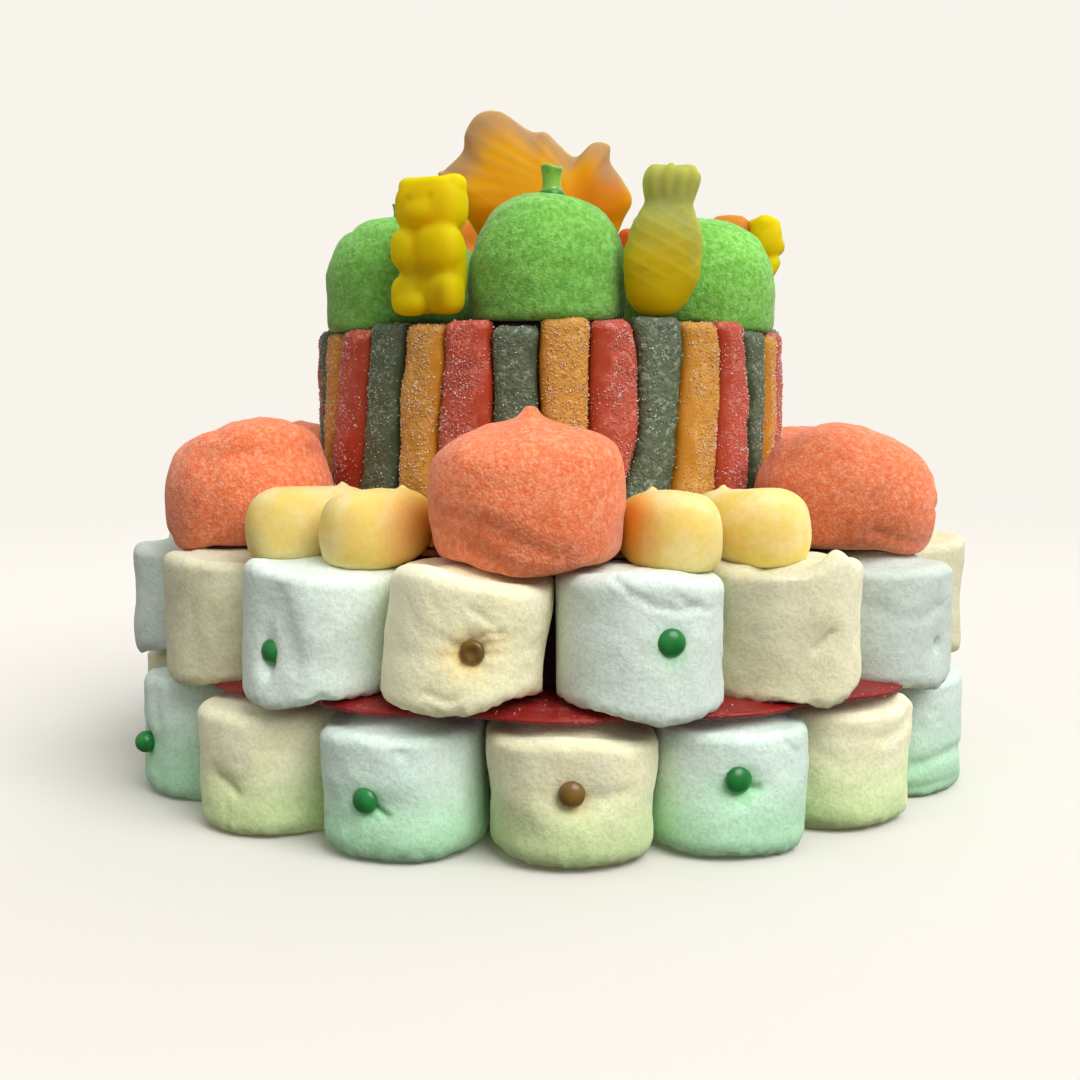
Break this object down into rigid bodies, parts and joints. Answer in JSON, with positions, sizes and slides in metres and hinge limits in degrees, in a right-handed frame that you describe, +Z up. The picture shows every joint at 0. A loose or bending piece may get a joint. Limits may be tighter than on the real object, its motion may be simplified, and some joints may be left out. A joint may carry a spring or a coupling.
{
  "type": "candy cake",
  "caption": "Round two-tier candy cake: stacked marshmallow rings under a drum of sugared jelly strips, topped with sugar-coated balls, foam candies and gummies.",
  "frame": {"origin": "on the surface the cake stands on, under the middle of the cake", "axes": "+Z up, the cake's front as pictured faces -Y, +X is to the viewer's right"},
  "size_m": [0.1969, 0.1983, 0.1548],
  "materials": {
    "yellow_marshmallow": "powdery matte marshmallow",
    "mint_marshmallow": "powdery matte marshmallow",
    "blue_marshmallow": "powdery matte marshmallow",
    "core_jelly": "dark red jelly",
    "belt_jelly": "crimson jelly with sugar grains",
    "sugared_strips": "sugared jelly in three colours",
    "orange_sugar": "fine sugar coat",
    "green_sugar": "fine sugar coat",
    "foam": "smooth foam candy",
    "yellow_gummy": "oiled gummy",
    "pineapple_gummy": "oiled gummy",
    "orange_gummy": "oiled gummy"
  },
  "bodies": {
    "root": {"lower_marshmallow_01": "yellow_marshmallow", "lower_marshmallow_02": "mint_marshmallow", "lower_marshmallow_03": "yellow_marshmallow", "lower_marshmallow_04": "mint_marshmallow", "lower_marshmallow_05": "yellow_marshmallow", "lower_marshmallow_06": "mint_marshmallow", "lower_marshmallow_07": "yellow_marshmallow", "lower_marshmallow_08": "mint_marshmallow", "lower_marshmallow_09": "yellow_marshmallow", "lower_marshmallow_10": "mint_marshmallow", "lower_marshmallow_11": "yellow_marshmallow", "lower_marshmallow_12": "mint_marshmallow", "lower_marshmallow_13": "yellow_marshmallow", "lower_marshmallow_14": "mint_marshmallow", "lower_marshmallow_15": "yellow_marshmallow", "lower_marshmallow_16": "mint_marshmallow", "upper_marshmallow_01": "yellow_marshmallow", "upper_marshmallow_02": "blue_marshmallow", "upper_marshmallow_03": "yellow_marshmallow", "upper_marshmallow_04": "blue_marshmallow", "upper_marshmallow_05": "yellow_marshmallow", "upper_marshmallow_06": "blue_marshmallow", "upper_marshmallow_07": "yellow_marshmallow", "upper_marshmallow_08": "blue_marshmallow", "upper_marshmallow_09": "yellow_marshmallow", "upper_marshmallow_10": "blue_marshmallow", "upper_marshmallow_11": "yellow_marshmallow", "upper_marshmallow_12": "blue_marshmallow", "upper_marshmallow_13": "yellow_marshmallow", "upper_marshmallow_14": "blue_marshmallow", "upper_marshmallow_15": "yellow_marshmallow", "upper_marshmallow_16": "blue_marshmallow", "core": "core_jelly", "belt": "belt_jelly", "strip_wall": "sugared_strips", "orange_ball_1": "orange_sugar", "orange_ball_2": "orange_sugar", "orange_ball_3": "orange_sugar", "orange_ball_4": "orange_sugar", "orange_ball_5": "orange_sugar", "orange_ball_6": "orange_sugar", "foam_pair_1": "foam", "foam_pair_2": "foam", "foam_pair_3": "foam", "foam_pair_4": "foam", "foam_pair_5": "foam", "foam_pair_6": "foam", "green_ball_1": "green_sugar", "green_ball_2": "green_sugar", "green_ball_3": "green_sugar", "green_ball_4": "green_sugar", "green_ball_5": "green_sugar", "green_ball_6": "green_sugar", "gummy_bear_1": "yellow_gummy", "gummy_bear_2": "yellow_gummy", "gummy_bear_and_dome": "yellow_gummy", "gummy_dome": "orange_gummy", "gummy_pineapple_1": "pineapple_gummy", "gummy_pineapple_2": "pineapple_gummy", "gummy_shell": "orange_gummy"}
  },
  "joints": []
}
